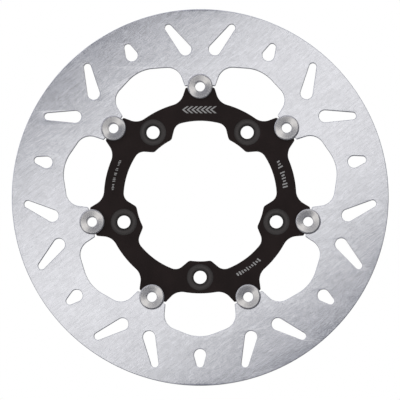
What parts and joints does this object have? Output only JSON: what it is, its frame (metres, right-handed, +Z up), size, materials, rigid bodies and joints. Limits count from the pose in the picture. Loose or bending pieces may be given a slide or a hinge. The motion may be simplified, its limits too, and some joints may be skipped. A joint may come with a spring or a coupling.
{
  "type": "brake disc rotor",
  "caption": "Floating motorcycle brake disc: slotted steel friction ring on a black hub carrier, joined by hollow bobbins with washers and circlips behind.",
  "frame": {"origin": "on the wheel's axle line, midway between the bobbins' front and rear ends, which is the centre of the bounding box", "axes": "Y along the axle: the outer, seen face looks towards -Y and the hub side towards +Y; +Z is up through bobbin 1; +X is to the right as seen from the outer side"},
  "size_m": [0.3, 0.012, 0.3],
  "materials": {
    "ground_steel": "stainless steel ground flat, with straight fine grinding lines all one way",
    "black_anodised": "black anodised, satin",
    "turned_steel": "turned, with fine lathe rings",
    "washer_steel": "zinc plated, dull",
    "spring_steel": "dark phosphated spring steel"
  },
  "bodies": {
    "carrier": {"carrier": "black_anodised"},
    "ring": {"friction_ring": "ground_steel"},
    "bobbin_1": {"bobbin_1": "turned_steel", "flat_washer_1": "washer_steel", "wave_washer_1": "spring_steel", "circlip_1": "spring_steel"},
    "bobbin_2": {"bobbin_2": "turned_steel", "flat_washer_2": "washer_steel", "wave_washer_2": "spring_steel", "circlip_2": "spring_steel"},
    "bobbin_3": {"bobbin_3": "turned_steel", "flat_washer_3": "washer_steel", "wave_washer_3": "spring_steel", "circlip_3": "spring_steel"},
    "bobbin_4": {"bobbin_4": "turned_steel", "flat_washer_4": "washer_steel", "wave_washer_4": "spring_steel", "circlip_4": "spring_steel"},
    "bobbin_5": {"bobbin_5": "turned_steel", "flat_washer_5": "washer_steel", "wave_washer_5": "spring_steel", "circlip_5": "spring_steel"},
    "bobbin_6": {"bobbin_6": "turned_steel", "flat_washer_6": "washer_steel", "wave_washer_6": "spring_steel", "circlip_6": "spring_steel"},
    "bobbin_7": {"bobbin_7": "turned_steel", "flat_washer_7": "washer_steel", "wave_washer_7": "spring_steel", "circlip_7": "spring_steel"}
  },
  "joints": [
    {"name": "ring_float", "type": "slide", "parent": "carrier", "child": "ring", "axis": [0, 1, 0], "range_m": [-0.0002, 0.0002], "stiffness_N_per_m": 20000},
    {"name": "bobbin_spin_1", "type": "hinge", "parent": "carrier", "child": "bobbin_1", "pos_m": [0, 0, 0.0882], "axis": [0, 1, 0], "continuous": true},
    {"name": "bobbin_spin_2", "type": "hinge", "parent": "carrier", "child": "bobbin_2", "pos_m": [-0.06896, 0, 0.05499], "axis": [0, 1, 0], "continuous": true},
    {"name": "bobbin_spin_3", "type": "hinge", "parent": "carrier", "child": "bobbin_3", "pos_m": [-0.08599, 0, -0.01963], "axis": [0, 1, 0], "continuous": true},
    {"name": "bobbin_spin_4", "type": "hinge", "parent": "carrier", "child": "bobbin_4", "pos_m": [-0.03827, 0, -0.07947], "axis": [0, 1, 0], "continuous": true},
    {"name": "bobbin_spin_5", "type": "hinge", "parent": "carrier", "child": "bobbin_5", "pos_m": [0.03827, 0, -0.07947], "axis": [0, 1, 0], "continuous": true},
    {"name": "bobbin_spin_6", "type": "hinge", "parent": "carrier", "child": "bobbin_6", "pos_m": [0.08599, 0, -0.01963], "axis": [0, 1, 0], "continuous": true},
    {"name": "bobbin_spin_7", "type": "hinge", "parent": "carrier", "child": "bobbin_7", "pos_m": [0.06896, 0, 0.05499], "axis": [0, 1, 0], "continuous": true}
  ]
}
